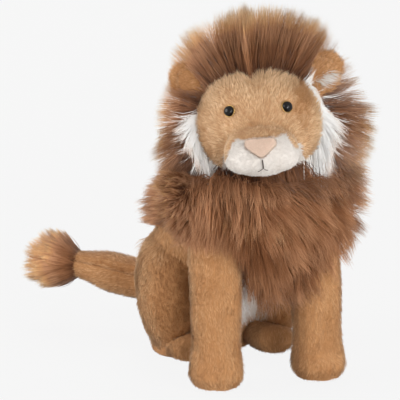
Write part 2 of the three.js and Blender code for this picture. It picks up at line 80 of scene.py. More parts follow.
def unit(vectors):
    """Each row as a vector of length 1."""
    return vectors / np.maximum(np.linalg.norm(vectors, axis=-1, keepdims=True), 1e-12)


def ramp(values, low, high):
    """0 below low, 1 above high, and a smooth step between them."""
    t = np.clip((values - low) / (high - low), 0, 1)
    return t * t * (3 - 2 * t)


def bell(values, middle, width):
    """1 at the middle, and a smooth fall to nothing on both sides."""
    return np.exp(-(((values - middle) / width) ** 2))


def ramp_mm(values, low, high):
    """A ramp between two lengths in millimetres."""
    return ramp(values, low * MM, high * MM)


def bell_mm(values, middle, width):
    """A bell at a length in millimetres, with a width in millimetres."""
    return bell(values, middle * MM, width * MM)


def rgb(red, green, blue):
    """An sRGB colour, written from 0 to 255, as the linear colour that a shader takes."""
    channels = [c / 255 for c in (red, green, blue)]
    return tuple(c / 12.92 if c <= 0.04045 else ((c + 0.055) / 1.055) ** 2.4 for c in channels) + (1.0,)


def turn(azimuth, elevation):
    """The direction from the lion towards a place at an azimuth and an elevation, in degrees."""
    a, e = math.radians(azimuth), math.radians(elevation)
    return Vector((math.sin(a) * math.cos(e), -math.cos(a) * math.cos(e), math.sin(e)))


HEAD_TURN = (
    Matrix.Translation(HEAD_CENTRE)
    @ Matrix.Rotation(math.radians(HEAD_YAW), 4, "Z")
    @ Matrix.Rotation(math.radians(HEAD_ROLL), 4, "Y")
)
TAIL_TURN = Matrix.Translation(TAIL_ROOT) @ Matrix.Rotation(math.radians(TAIL_HEADING), 4, "Z")


def ear_turn(side):
    """The axes of an ear: x along its seam, y to its back and z to its rim."""
    joint = next(j for j in frame["joints"] if j["name"] == f"ear_{side}_fold")
    across = Vector(joint["axis"]).normalized()
    back = HEAD_TURN.to_3x3() @ Vector((0, 1, 0))
    axes = Matrix((across, back, across.cross(back))).transposed()
    return Matrix.Translation(joint["pos_m"]) @ axes.to_4x4()


EAR_TURN = {side: ear_turn(side) for side in SIDES}


def local(points, matrix):
    """Points of the row frame in the axes of a turned part."""
    axes = np.array(matrix.to_3x3())
    return (points - np.array(matrix.translation)) @ axes


def outward(vectors, matrix):
    """Vectors of a turned part in the axes of the row frame."""
    return vectors @ np.array(matrix.to_3x3()).T


def drift(places, scale, seed):
    """Smooth random vectors, one for each place, that change over about this distance."""
    shift = Vector((3.7, 1.9, 0.3)) * seed
    return np.array([noise.noise_vector(Vector(p) / scale + shift) for p in places]).reshape(-1, 3)


# Nodes.
def put(node, values):
    """Gives inputs of a node, by name or number, a socket to follow or a value of their own."""
    for name, value in values.items():
        if isinstance(value, bpy.types.NodeSocket):
            node.id_data.links.new(value, node.inputs[name])
        else:
            node.inputs[name].default_value = value
    return node


def new_material(name):
    """An empty node material, its Principled shader and its nodes."""
    material = bpy.data.materials.new(name)
    material.use_nodes = True
    nodes = material.node_tree.nodes
    return material, nodes["Principled BSDF"], nodes


def maths(nodes, operation, one, two):
    """What a math node makes of two sockets or numbers."""
    node = put(nodes.new("ShaderNodeMath"), {0: one, 1: two})
    node.operation = operation
    return node.outputs[0]


def colour_ramp(nodes, factor, stops, kind="EASE"):
    """The colour at a factor between these (place, colour) stops."""
    node = put(nodes.new("ShaderNodeValToRGB"), {"Fac": factor})
    node.color_ramp.interpolation = kind
    elements = node.color_ramp.elements
    elements[0].position, elements[0].color = stops[0]
    elements[1].position, elements[1].color = stops[-1]
    for place, colour in stops[1:-1]:
        elements.new(place).color = colour
    return node.outputs["Color"]


# The numbers of a mix node's sockets: its factor, its two colours and the colour that comes out.
MIX_FACTOR, MIX_ONE, MIX_TWO, MIX_RESULT = 0, 6, 7, 2


def mixed(nodes, kind, factor, one, two):
    """A colour mix of two sockets or colours, by a factor that is a socket or a number."""
    node = nodes.new("ShaderNodeMix")
    node.data_type = "RGBA"
    node.blend_type = kind
    return put(node, {MIX_FACTOR: factor, MIX_ONE: one, MIX_TWO: two}).outputs[MIX_RESULT]


def textured(nodes, scale, detail):
    """A noise in the piece's own coordinates."""
    place = nodes.new("ShaderNodeTexCoord").outputs["Object"]
    node = put(nodes.new("ShaderNodeTexNoise"), {"Vector": place, "Scale": scale, "Detail": detail})
    return node.outputs["Fac"]


# The camera, the light and the floor.
BACKDROP = rgb(247, 247, 247)
FLOOR_SHADE = rgb(214, 214, 213)
FLOOR_GLOW = 0.95
AMBIENT = 0.54
LAMPS = {
    "key": {"azimuth": 20, "elevation": 21, "distance": 2.0, "size": 1.1, "watts": 13},
    "fill": {"azimuth": -98, "elevation": 18, "distance": 2.2, "size": 1.6, "watts": 30},
    "rim": {"azimuth": 165, "elevation": 40, "distance": 2.0, "size": 1.4, "watts": 16},
    "front": {"azimuth": 0, "elevation": 2, "distance": 2.0, "size": 0.6, "watts": 15},
    "spark": {"azimuth": 5, "elevation": 12, "distance": 2.0, "size": 0.12, "watts": 2.5},
}


def link_piece(name, data):
    obj = bpy.data.objects.new(name, data)
    bpy.context.scene.collection.objects.link(obj)
    return obj


def aimed(obj, place):
    """Puts a camera or a lamp at its angle and distance, facing the middle of the frame."""
    back = turn(place["azimuth"], place["elevation"])
    obj.location = Vector(CAMERA["aim"]) + back * place["distance"]
    obj.rotation_euler = (-back).to_track_quat("-Z", "Y").to_euler()
    return obj


def make_camera():
    data = bpy.data.cameras.new("camera")
    data.sensor_width = SENSOR
    data.lens = SENSOR * CAMERA["distance"] / FRAME_WIDTH
    data.clip_end = 50
    bpy.context.scene.camera = aimed(link_piece("camera", data), CAMERA)


def make_light():
    for name, lamp in LAMPS.items():
        data = bpy.data.lights.new(name, "AREA")
        data.shape = "DISK"
        data.size = lamp["size"]
        data.energy = lamp["watts"]
        aimed(link_piece(name, data), lamp)


def backdrop_rays(nodes):
    """1 for the rays that should see the plain backdrop: the camera's, and those in a reflection."""
    path = nodes.new("ShaderNodeLightPath").outputs
    return maths(nodes, "MAXIMUM", path["Is Camera Ray"], path["Is Glossy Ray"])


def mixed_shader(nodes, factor, one, two):
    node = put(nodes.new("ShaderNodeMixShader"), {0: factor, 1: one.outputs[0], 2: two.outputs[0]})
    return node.outputs[0]


def make_world():
    world = bpy.data.worlds.new("studio")
    bpy.context.scene.world = world
    world.use_nodes = True
    nodes = world.node_tree.nodes
    nodes.clear()
    ambient = put(nodes.new("ShaderNodeBackground"), {"Color": (1, 1, 1, 1), "Strength": AMBIENT})
    backdrop = put(nodes.new("ShaderNodeBackground"), {"Color": BACKDROP})
    mix = mixed_shader(nodes, backdrop_rays(nodes), ambient, backdrop)
    put(nodes.new("ShaderNodeOutputWorld"), {"Surface": mix})


def make_floor():
    """Pale paper. The camera sees most of it as the plain backdrop, with the lion's shadow faint on it."""
    data = bpy.data.meshes.new("floor")
    reach = 30.0
    corners = [(-reach, -reach, 0), (reach, -reach, 0), (reach, reach, 0), (-reach, reach, 0)]
    data.from_pydata(corners, [], [(0, 1, 2, 3)])
    material, shader, nodes = new_material("floor_paper")
    put(shader, {"Base Color": FLOOR_SHADE, "Roughness": 0.9, "Specular IOR Level": 0.1})
    glow = put(nodes.new("ShaderNodeEmission"), {"Color": BACKDROP})
    share = maths(nodes, "MULTIPLY", backdrop_rays(nodes), FLOOR_GLOW)
    put(nodes["Material Output"], {"Surface": mixed_shader(nodes, share, shader, glow)})
    data.materials.append(material)
    link_piece("floor", data)


bpy.context.scene.view_settings.view_transform = "Standard"
make_camera()
make_light()
make_world()
make_floor()


# Materials.
def cloth_material(name, colour, shade, patches=None, grain=900, relief=0.4, sheen=0.1):
    """Knitted backing that shows between the strands, in two mottled colours, or others where painted."""
    material, shader, nodes = new_material(name)
    mottle = textured(nodes, 60, 6)
    found = mixed(nodes, "MIX", mottle, shade, colour)
    for paint_name, (second, second_shade) in (patches or {}).items():
        patch = nodes.new("ShaderNodeAttribute")
        patch.attribute_name = paint_name
        other = mixed(nodes, "MIX", mottle, second_shade, second)
        found = mixed(nodes, "MIX", patch.outputs["Fac"], found, other)
    height = textured(nodes, grain, 3)
    bump = put(nodes.new("ShaderNodeBump"), {"Strength": relief, "Distance": 0.6 * MM, "Height": height})
    put(shader, {"Base Color": found, "Normal": bump.outputs["Normal"], "Roughness": 0.92})
    put(shader, {"Specular IOR Level": 0.15, "Sheen Weight": sheen, "Sheen Roughness": 0.5})
    return material


def strand_material(name, first, second):
    """Hair of two kinds, the second for the upper half of the tones. Each is its colours from root to tip,
    and what the lowest tone multiplies them by."""
    material, shader, nodes = new_material(name)
    chart = nodes.new("ShaderNodeUVMap")
    chart.uv_map = STRAND_MAP
    split = put(nodes.new("ShaderNodeSeparateXYZ"), {0: chart.outputs["UV"]}).outputs
    tone = maths(nodes, "MULTIPLY", maths(nodes, "PINGPONG", split["X"], 0.5), 2)
    shades = []
    for along, dim in (first, second):
        length = colour_ramp(nodes, split["Y"], along)
        light = colour_ramp(nodes, tone, [(0.0, dim + (1,)), (1.0, (1, 1, 1, 1))], "LINEAR")
        shades.append(mixed(nodes, "MULTIPLY", 1.0, length, light))
    choose = maths(nodes, "GREATER_THAN", split["X"], 0.5)
    put(shader, {"Base Color": mixed(nodes, "MIX", choose, *shades), "Roughness": 0.6})
    put(shader, {"Specular IOR Level": 0.2, "Sheen Weight": 0.15, "Sheen Roughness": 0.4})
    return material


def gloss_material(name, colour, roughness, metallic=0.0, mottle=0.06, gleam=0.5):
    """Smooth plastic or metal, its roughness a little uneven."""
    material, shader, nodes = new_material(name)
    limits = {"To Min": roughness, "To Max": roughness + mottle}
    spread = put(nodes.new("ShaderNodeMapRange"), {"Value": textured(nodes, 300, 2), **limits})
    put(shader, {"Base Color": colour, "Metallic": metallic, "Specular IOR Level": gleam})
    put(shader, {"Roughness": spread.outputs["Result"]})
    return material


TAN_ALONG = [(0.0, rgb(172, 124, 80)), (0.5, rgb(222, 173, 124)), (1.0, rgb(250, 210, 168))]
FACE_ALONG = [(0.0, rgb(190, 148, 106)), (0.5, rgb(240, 202, 159)), (1.0, rgb(255, 235, 205))]
WHITE_ALONG = [(0.0, rgb(202, 193, 184)), (0.5, rgb(226, 219, 212)), (1.0, rgb(236, 231, 225))]
PINK_ALONG = [(0.0, rgb(206, 176, 158)), (0.5, rgb(232, 205, 186)), (1.0, rgb(244, 222, 205))]
# Its cream end is reached mostly by tips given a longer reach, out at the mane's rim and on the tail's tuft:
# painted light there.
BROWN_ALONG = [
    (0.0, rgb(122, 77, 48)),
    (0.35, rgb(174, 120, 82)),
    (0.7, rgb(214, 161, 121)),
    (0.84, rgb(236, 182, 126)),
    (1.0, rgb(255, 228, 178)),
]
RUFF_ALONG = [
    (0.0, rgb(250, 247, 243)),
    (0.45, rgb(255, 254, 252)),
    (0.68, rgb(252, 246, 240)),
    (0.86, rgb(212, 178, 154)),
    (1.0, rgb(240, 206, 164)),
]
DIM_TAN = (0.6, 0.46, 0.32)
DIM_WHITE = (0.84, 0.81, 0.78)
DIM_BROWN = (0.38, 0.28, 0.18)
DIM_FACE = (0.52, 0.37, 0.24)
DIM_RUFF = (0.95, 0.93, 0.91)
TAN = (rgb(190, 140, 94), rgb(164, 114, 72))
FACE = (rgb(200, 154, 112), rgb(176, 128, 88))
WHITE = (rgb(230, 223, 216), rgb(212, 203, 194))
BROWN = (rgb(112, 70, 45), rgb(84, 50, 31))
HAIRS = {
    "tan_pile": [(TAN_ALONG, DIM_TAN), (WHITE_ALONG, DIM_WHITE)],
    "face_pile": [(FACE_ALONG, DIM_FACE), (WHITE_ALONG, DIM_WHITE)],
    "belly_pile": [(TAN_ALONG, DIM_TAN), (RUFF_ALONG[:3], DIM_RUFF)],
    "pink_pile": [(PINK_ALONG, DIM_WHITE), (WHITE_ALONG, DIM_WHITE)],
    "brown_pile": [(BROWN_ALONG, DIM_BROWN), (RUFF_ALONG, DIM_RUFF)],
}
FABRICS = {
    "tan_cloth": [*TAN, {"hairy": BROWN, "pale": WHITE}],
    "face_cloth": [*FACE, {"hairy": BROWN, "pale": WHITE}],
    "brown_cloth": BROWN,
    "pink_cloth": [rgb(216, 191, 173), rgb(205, 178, 158)],
    "pellet_cloth": [rgb(226, 222, 212), rgb(206, 200, 188), None, 900, 0.6],
    "thread": [rgb(74, 62, 58), rgb(48, 40, 38), None, 2500, 0.4, 0.05],
}
MATERIALS = {
    **{name: strand_material(name, *kinds) for name, kinds in HAIRS.items()},
    **{name: cloth_material(name, *look) for name, look in FABRICS.items()},
    "black_gloss": gloss_material("black_gloss", rgb(9, 7, 6), 0.04, mottle=0.02, gleam=0.25),
    "gold_ring": gloss_material("gold_ring", rgb(176, 140, 86), 0.25, metallic=0.8),
    "nylon": gloss_material("nylon", rgb(232, 232, 228), 0.45, mottle=0.12),
}


# Skins: each stuffed form of the frame, its facets eased and its cut edges rounded into soft seams.
def numbers(items, name, kind=np.float32, width=3):
    """A property of many mesh elements as an array."""
    found = np.empty(len(items) * width, kind)
    items.foreach_get(name, found)
    return found.reshape(-1, width) if width > 1 else found


def gathered(name, *meshes):
    """One new piece with all the shells of some meshes."""
    mesh = bpy.data.meshes.new(name)
    shells = bmesh.new()
    for one in meshes:
        shells.from_mesh(one)
    shells.to_mesh(mesh)
    shells.free()
    return link_piece(name, mesh)


EASING = 0.25


def eased(mesh, points, passes):
    """The points drawn towards their neighbours, in one order, so any number of threads gives the same."""
    corners = numbers(mesh.loops, "vertex_index", np.int32, 1)
    first = numbers(mesh.polygons, "loop_start", np.int32, 1)
    count = numbers(mesh.polygons, "loop_total", np.int32, 1)
    following = np.arange(1, len(corners) + 1)
    following[first + count - 1] = first
    edges = np.unique(np.sort(np.stack([corners, corners[following]], 1), 1), axis=0)
    one, two = edges.T
    beside = np.bincount(edges.ravel(), minlength=len(points)).clip(1)
    for _ in range(passes):
        middle = np.stack([
            np.bincount(one, points[two, k], len(points)) + np.bincount(two, points[one, k], len(points))
            for k in range(3)
        ], 1) / beside[:, None]
        points = (1 - EASING) * points + EASING * middle
    return points


def woven(obj, voxel, passes, form=None):
    """Makes a piece one even skin of small faces, eased. form gives how far each point moves from there."""
    remesh = obj.modifiers.new("weave", "REMESH")
    remesh.mode = "VOXEL"
    remesh.voxel_size = voxel
    graph = bpy.context.evaluated_depsgraph_get()
    mesh = bpy.data.meshes.new_from_object(obj.evaluated_get(graph))
    obj.modifiers.clear()
    obj.data = mesh
    points = eased(mesh, numbers(mesh.vertices, "co").astype(float), passes)
    mesh.vertices.foreach_set("co", points.astype(np.float32).ravel())
    mesh.update()
    if form:
        points += form(points, numbers(mesh.vertices, "normal").astype(float))
    points[:, 2] = np.maximum(points[:, 2], 0)
    mesh.vertices.foreach_set("co", points.astype(np.float32).ravel())
    mesh.update()
    return obj


def pushed(by):
    """A form that moves each point straight out, or in where by is less than nothing."""
    return lambda points, normals: normals * by


def paint(obj, name, values):
    """Marks each vertex with how much of one of the other colours it takes."""
    layer = obj.data.attributes.new(name, "FLOAT", "POINT")
    layer.data.foreach_set("value", values.astype(np.float32))


class Surface:
    """A mesh's triangles, to root strands on and to keep them off."""

    def __init__(self, *objects):
        points, normals, corners = [], [], []
        for obj in objects:
            mesh = obj.data
            mesh.calc_loop_triangles()
            first = sum(len(p) for p in points)
            points.append(numbers(mesh.vertices, "co"))
            normals.append(numbers(mesh.vertices, "normal"))
            corners.append(numbers(mesh.loop_triangles, "vertices", np.int32) + first)
        self.points = np.concatenate(points).astype(float)
        self.normals = np.concatenate(normals).astype(float)
        self.corners = np.concatenate(corners)
        self.tree = BVHTree.FromPolygons(self.points.tolist(), self.corners.tolist())

    def roots(self, per_square_mm, rng):
        """Random places on the skin, with the way it faces there."""
        a, b, c = (self.points[self.corners[:, i]] for i in range(3))
        area = np.linalg.norm(np.cross(b - a, c - a), axis=1) / 2
        count = int(area.sum() / MM**2 * per_square_mm)
        pick = self.corners[rng.choice(len(area), count, p=area / area.sum())]
        along, across = np.sqrt(rng.random(count)), rng.random(count)
        shares = np.stack([1 - along, along * (1 - across), along * across], 1)[:, :, None]
        return (self.points[pick] * shares).sum(1), unit((self.normals[pick] * shares).sum(1))

    def depths(self, places, reach=25 * MM):
        """How far each place stands off the surface, less than nothing inside it, and the way out there."""
        gaps = np.full(len(places), reach)
        ways = np.zeros((len(places), 3))
        for i, place in enumerate(places):
            near, normal, _, _ = self.tree.find_nearest(Vector(place), reach)
            if near is not None:
                gaps[i] = (Vector(place) - near).dot(normal)
                ways[i] = normal
        return gaps, ways

    def clear(self, lines, gap):
        """Moves the points of strands that lie inside the surface, or closer than gap, out of it."""
        flat = lines[:, 1:].reshape(-1, 3)
        gaps, ways = self.depths(flat)
        flat = flat + ways * np.maximum(gap - gaps, 0)[:, None]
        lines[:, 1:] = flat.reshape(lines[:, 1:].shape)
        return lines


# Strands: closed blades of three sides that taper to a point.
TAPER = [1.0, 0.96, 0.86, 0.68, 0.4]
FLOOR_GAP = 0.4 * MM
TONE_SPREAD = 0.004


def strand_piece(name, lines, widths, tones, reach, normals, softness, material):
    """One mesh of many strands. lines holds each strand's points from root to tip."""
    count, steps, _ = lines.shape
    lines[:, :, 2] = np.maximum(lines[:, :, 2], FLOOR_GAP)
    rings = steps - 1
    taper = np.interp(np.linspace(0, 1, rings), np.linspace(0, 1, len(TAPER)), TAPER)
    ways = unit(np.gradient(lines, axis=1))
    side = unit(np.cross(ways, normals[:, None, :]))
    up = np.cross(ways, side)
    spin = np.arange(3) * 2 * math.pi / 3 + math.pi / 2
    faces_out = side[:, :rings, None] * np.cos(spin)[:, None] + up[:, :rings, None] * np.sin(spin)[:, None]
    radii = (widths[:, None] / 2 * taper[None, :])[:, :, None, None]
    tubes = lines[:, :rings, None] + faces_out * radii
    points = np.concatenate([tubes.reshape(count, rings * 3, 3), lines[:, -1:]], 1)
    soft = unit(normals[:, None, None, :] * softness + faces_out * (1 - softness))
    tip = unit(normals * softness + ways[:, -1] * (1 - softness))
    shading = np.concatenate([soft.reshape(count, rings * 3, 3), tip[:, None]], 1)

    each = rings * 3 + 1
    pattern = [[2, 1, 0]]
    for ring in range(rings):
        for k in range(3):
            low, n = ring * 3, (k + 1) % 3
            above = [rings * 3] if ring == rings - 1 else [low + 3 + n, low + 3 + k]
            pattern.append([low + k, low + n] + above)
    sizes = np.array([len(f) for f in pattern])
    corner = np.concatenate([np.array(f) for f in pattern])
    loops = (corner[None, :] + (np.arange(count) * each)[:, None]).ravel()
    starts = np.cumsum(sizes) - sizes
    starts = (starts[None, :] + (np.arange(count) * len(corner))[:, None]).ravel()

    mesh = bpy.data.meshes.new(name)
    mesh.vertices.add(count * each)
    mesh.vertices.foreach_set("co", points.astype(np.float32).ravel())
    mesh.loops.add(len(loops))
    mesh.loops.foreach_set("vertex_index", loops.astype(np.int32))
    mesh.polygons.add(len(starts))
    mesh.polygons.foreach_set("loop_start", starts.astype(np.int32))
    mesh.update(calc_edges=True)

    across = np.tile([-TONE_SPREAD, 0, TONE_SPREAD], rings)
    across = tones[:, None] + np.concatenate([across, [0]])[None, :]
    way = np.concatenate([np.repeat(np.linspace(0, 1, steps)[:rings], 3), [1.0]])
    chart = np.stack([across, reach[:, None] * way[None, :]], 2).reshape(-1, 2)
    layer = mesh.uv_layers.new(name=STRAND_MAP)
    layer.uv.foreach_set("vector", chart[loops].clip(0.002, 0.998).astype(np.float32).ravel())
    mesh.materials.append(material)
    mesh.normals_split_custom_set_from_vertices(shading.reshape(-1, 3).astype(np.float32))
    return link_piece(name, mesh)


def grown(places, starts, ends, lengths, steps):
    """Strand points from each place: off along starts, turning towards ends, at these lengths."""
    lines = np.empty((len(places), steps, 3))
    lines[:, 0] = places
    for k in range(1, steps):
        t = (k - 0.5) / (steps - 1)
        way = unit(starts * (1 - t) + ends * t)
        lines[:, k] = lines[:, k - 1] + way * (lengths / (steps - 1))[:, None]
    return lines


def clumped(lines, spacing, pull, rng, power=1.3):
    """Draws the strands into locks, each towards a leader near its root. Returns the leaders too."""
    count = len(lines)
    taken = kdtree.KDTree(count)
    for i, root in enumerate(lines[:, 0]):
        taken.insert(root, i)
    taken.balance()
    free = np.ones(count, bool)
    owner = np.arange(count)
    nearest = np.full(count, np.inf)
    for i in rng.permutation(count):
        if not free[i]:
            continue
        for _, j, gap in taken.find_range(lines[i, 0], spacing):
            free[j] = False
            if gap < nearest[j]:
                nearest[j], owner[j] = gap, i
    share = pull * np.linspace(0, 1, lines.shape[1]) ** power
    return lines + (lines[owner] - lines) * share[None, :, None], owner


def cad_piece(obj, body, nodes=()):
    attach(obj, body)
    if nodes:
        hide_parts(*nodes)
    return obj


# The forms that the skins take on. Each lies a little inside its solid, whose face is where the pile ends.
INSET = 0.8 * MM
BRIDGE = {"head": 8 * MM, "torso": 4 * MM}
TOE_CREASES = [-7 * MM, 7 * MM]
TAIL_CREASE = 0.5


def off_floor(normals):
    """0 on the soles and the seat, and 1 on the sides and above."""
    return ramp(normals[:, 2], -0.85, -0.5)


def inset(points, normals):
    """In from the solid's face, but not on the soles and the seat."""
    return -normals * (INSET * off_floor(normals))[:, None]


def seat_form(points, normals):
    """The thighs are slimmer low down behind than their solids."""
    x, y, z = points.T
    slim = 3 * MM * ramp_mm(y, -20, 20) * ramp_mm(-z, -78, -40)
    slim = slim * ramp_mm(np.abs(x), 40, 50) + BRIDGE["torso"]
    return -normals * (slim * off_floor(normals))[:, None]


def paw_form(middle):
    """The forward swell of a paw, and the creases between its toes."""
    def moves(points, normals):
        x, z = points[:, 0] - middle, points[:, 2]
        front = ramp(-normals[:, 1], 0.0, 0.8)
        swell = 1.8 * MM * bell_mm(z, 12, 11) * (0.4 + 0.6 * front)
        crease = sum(bell(x, c, 2.3 * MM) for c in TOE_CREASES) * front
        depth = 1.4 * MM * crease * ramp_mm(-z, -19, -12)
        return inset(points, normals) + normals * (swell - depth)[:, None]
    return moves


def tail_form(points, normals):
    n = local(normals + np.array(TAIL_TURN.translation), TAIL_TURN)
    crease = bell(n[:, 2], TAIL_CREASE, 0.14) * ramp(-n[:, 0], 0.2, 0.6)
    narrow = ramp_mm(local(points, TAIL_TURN)[:, 1], 58, 84)
    return inset(points, normals) - normals * ((2.4 * crease + 2.4 * narrow) * MM)[:, None]


LEG_MIDDLE = 42.3 * MM
TRUNK_SKINS = {
    "seat_panel": 1.6,
    "foreleg_left": 1.4,
    "foreleg_right": 1.4,
    "hind_foot_left": 1.5,
    "hind_foot_right": 1.5,
    "belly_panel": 1.0,
}
OTHER_SKINS = {
    "tail": 1.3,
    "nose": 0.7,
    "ear_left": 1.2,
    "ear_right": 1.2,
    "ear_lining_left": 0.8,
    "ear_lining_right": 0.8,
}
FORMS = {
    "foreleg_left": paw_form(LEG_MIDDLE),
    "foreleg_right": paw_form(-LEG_MIDDLE),
    "tail": tail_form,
    "seat_panel": None,
    "nose": pushed(-0.1 * MM),
    "ear_left": pushed(-0.4 * MM),
    "ear_right": pushed(-0.8 * MM),
    "ear_lining_left": pushed(0.3 * MM),
    "ear_lining_right": pushed(0.3 * MM),
}


def solids(*nodes):
    return [frame["nodes"][node].data for node in nodes]


skins = {}
for node, voxel in {**TRUNK_SKINS, **OTHER_SKINS}.items():
    skins[node] = woven(gathered(f"{node}_cloth", *solids(node)), voxel * MM, 6, FORMS.get(node, inset))


# Where the long pile takes over from the short one, and where the face is white.
def behind_hairline(q):
    """How far a place in the head's axes lies behind the hairline, with its notch above the nose."""
    x, y, z = q.T
    lobes = 6 * bell_mm(x, -24, 10) + 6 * bell_mm(x, -40, 8)
    lobes += 3 * bell_mm(x, 18, 8)
    notch = (8 * bell_mm(x, -4, 4) - lobes) * MM * (z > 0)
    under = 25 * MM * ramp_mm(-z, 23, 38)
    corner = 9 * MM * bell(np.degrees(np.arctan2(np.abs(x), z)), 56, 20)
    return y + 14 * MM + notch + under - corner


def on_head_hair(points):
    return ramp_mm(behind_hairline(local(points, HEAD_TURN)), -1.5, 1.5)


COLLAR_X = [-66, -50, -35, -22, -8, 6, 20, 40, 66]
COLLAR_ROOTS = [117, 124, 125, 115, 91, 76, 84, 112, 116]


def collar_edge(points):
    """The height above which the mane grows on the trunk: low on the chest, higher on the lion's right."""
    front = np.interp(points[:, 0] / MM, COLLAR_X, COLLAR_ROOTS) * MM
    behind = (107 + 10 * ramp_mm(points[:, 0], -20, 20)) * MM
    share = ramp_mm(-points[:, 1], 22, 50)
    return front * share + behind * (1 - share)


def on_collar(points):
    """How much a place on the trunk lies under the mane, from 0 to 1."""
    above = points[:, 2] - collar_edge(points)
    return ramp_mm(above, -4, 4)


MUZZLE_X = [-34, -28.5, -25, -22, -17.5, -13, -9, 9, 13, 17, 20, 22.5, 25, 30, 35]
MUZZLE_Z = [-60, -17, -9, -2.5, 1, 0.5, 0.5, 0.5, 0.5, 1.5, 1, -3.5, -8, -13, -60]


def on_white_face(points):
    """How white a place on the snout is, from 0 to 1: the pads, the chin and two horns beside the nose."""
    q = local(points, HEAD_TURN)
    edge = np.interp(q[:, 0] / MM, MUZZLE_X, MUZZLE_Z) * MM
    return ramp_mm(edge - q[:, 2], -1, 1)


def on_ruff(q):
    """How much of a place on the head is white: a band just behind the hairline, under each ear."""
    x = q[:, 0]
    angle = ruff_angle(q)
    first = np.where(x > 0, 43, 65)
    depth = np.where(x > 0, 15 + 13 * bell(angle, 68, 9) - 4 * ramp(angle, 80, 100), 11) * MM
    band = ramp(angle, first, first + 8) * ramp(-angle, -130, -120)
    return band * ramp(-behind_hairline(q), -depth, -0.4 * depth)


def ruff_angle(q):
    """How far round the face a place in the head's axes lies, in degrees from the top."""
    return np.degrees(np.arctan2(np.abs(q[:, 0]), q[:, 2] + 4 * MM))


def on_pale_head(points):
    q = local(points, HEAD_TURN)
    return np.maximum(on_white_face(points) * (q[:, 1] < 0), on_ruff(q) * on_head_hair(points))


def on_white_belly(points):
    x, y, z = points.T
    inside = ramp_mm(-np.abs(x), -33, -29) * ramp_mm(-y, 24, 30)
    return inside * ramp_mm(z, 16, 20) * ramp_mm(-z, -112, -106)


def everywhere(places):
    return np.ones(len(places))


# The thighs run into the torso, and the snout into the ball of the head, each in one skin: pushed out until
# the hollow between them closes, and back in. The muzzle stands on the face. The yoke is the stuffing under
# the mane, in from the faces of its solids by the reach of the pile.
YOKE_DEPTH = 15 * MM
COLLAR_PANELS = ["mane_bib", "mane_shoulder_left", "mane_shoulder_right", "mane_cape"]
YOKE = [*COLLAR_PANELS, "torso", "foreleg_left", "foreleg_right"]


def yoke_form(points, normals):
    """Inwards, less so at the top, and cut off along the mane's edge."""
    moved = points - normals * YOKE_DEPTH * [1, 1, 0.4]
    moved[:, 2] = np.maximum(moved[:, 2], collar_edge(moved) - 2 * MM)
    return moved - points


trunk = woven(gathered("torso_cloth", *solids("torso", "haunch_left", "haunch_right")), 2 * MM, 2,
              pushed(BRIDGE["torso"]))
skins["torso"] = woven(trunk, 2.4 * MM, 4, seat_form)
brow = woven(gathered("brow", *solids("head", "snout")), 1.8 * MM, 2, pushed(BRIDGE["head"]))
woven(brow, 2 * MM, 2, pushed(-BRIDGE["head"]))
face = woven(gathered("head_cloth", brow.data, *solids("muzzle")), 1.4 * MM, 2, pushed(2 * MM))
skins["head"] = woven(face, 1.6 * MM, 4, pushed(-2 * MM - 0.5 * MM))
skins["yoke"] = woven(gathered("yoke_cloth", *solids(*YOKE)), 2.6 * MM, 2, yoke_form)
skins["yoke"] = woven(skins["yoke"], 2.4 * MM, 4)
bpy.data.objects.remove(brow)

HAIRY = {"head": on_head_hair, "foreleg_left": on_collar, "foreleg_right": on_collar, "torso": on_collar}
PALE = {"head": on_pale_head, "torso": on_white_belly, "belly_panel": everywhere}
CLOTHS = {"nose": "pink_cloth", "head": "face_cloth", "yoke": "brown_cloth"}
STANDS_FOR = {
    "head": ["head", "snout", "muzzle"],
    "torso": ["torso", "haunch_left", "haunch_right"],
    "yoke": [],
}
for name, obj in skins.items():
    points = numbers(obj.data.vertices, "co").astype(float)
    for layer, where in (("hairy", HAIRY), ("pale", PALE)):
        if name in where:
            paint(obj, layer, where[name](points))
    obj.data.materials.append(MATERIALS[CLOTHS.get(name, "tan_cloth")])
    body = "trunk" if name in (*TRUNK_SKINS, "torso", "yoke") else "tail" if name == "tail" else "head"
    body = name.replace("ear_lining", "ear") if name.startswith("ear") else body
    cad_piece(obj, body, STANDS_FOR.get(name, [name]))

surfaces = {name: Surface(obj) for name, obj in skins.items()}
# How far strands stay off the pieces under the skins, in millimetres, and how high above a root is tested.
INNER = {"pellet_bag": 4, "eye_left": 0.2, "eye_right": 0.2}
SKIN_GAP = 0.1
PROBE = 0.6 * MM
inner = {name: Surface(frame["nodes"][name]) for name in INNER}


def buried(places, normals, own):
    """True where a place lies inside another piece, or so close under it that nothing could stand there."""
    hidden = np.zeros(len(places), bool)
    for name, surface in {**surfaces, **inner}.items():
        if name in (own, "yoke") or own.replace("lining_", "") == name.replace("lining_", ""):
            continue
        gap = INNER.get(name, SKIN_GAP) * MM
        low, high = surface.points.min(0) - gap, surface.points.max(0) + gap
        near = np.flatnonzero(((places > low) & (places < high)).all(1) & ~hidden)
        hidden[near] = surface.depths(places[near] + normals[near] * PROBE)[0] < gap
    return hidden


# The short pile.
def lying(ways, normals):
    """Each way, laid down on the skin."""
    return unit(ways - normals * (ways * normals).sum(1)[:, None])


def down_comb(places, normals):
    return lying(np.tile(DOWN, (len(places), 1)), normals)


def face_comb(places, normals):
    """The face's pile is brushed away from the nose."""
    q = local(places, HEAD_TURN)
    return lying(outward(q - np.array([0, -70, -12]) * MM, HEAD_TURN), normals)


def tail_comb(places, normals):
    return lying(np.tile(np.array(TAIL_TURN.to_3x3() @ Vector((0, 1, 0))), (len(places), 1)), normals)


# The points of a short strand, the slope and the height under which a sole stays bare, the size of a brushed
# patch and of a lock, and in millimetres how deep a strand is rooted.
PILE_STEPS = 3
UNDERSIDE = -0.7
SOLE = 3 * MM
PATCH = 14 * MM
LOCK = 2.4 * MM
ROOT_DEPTH = 0.4
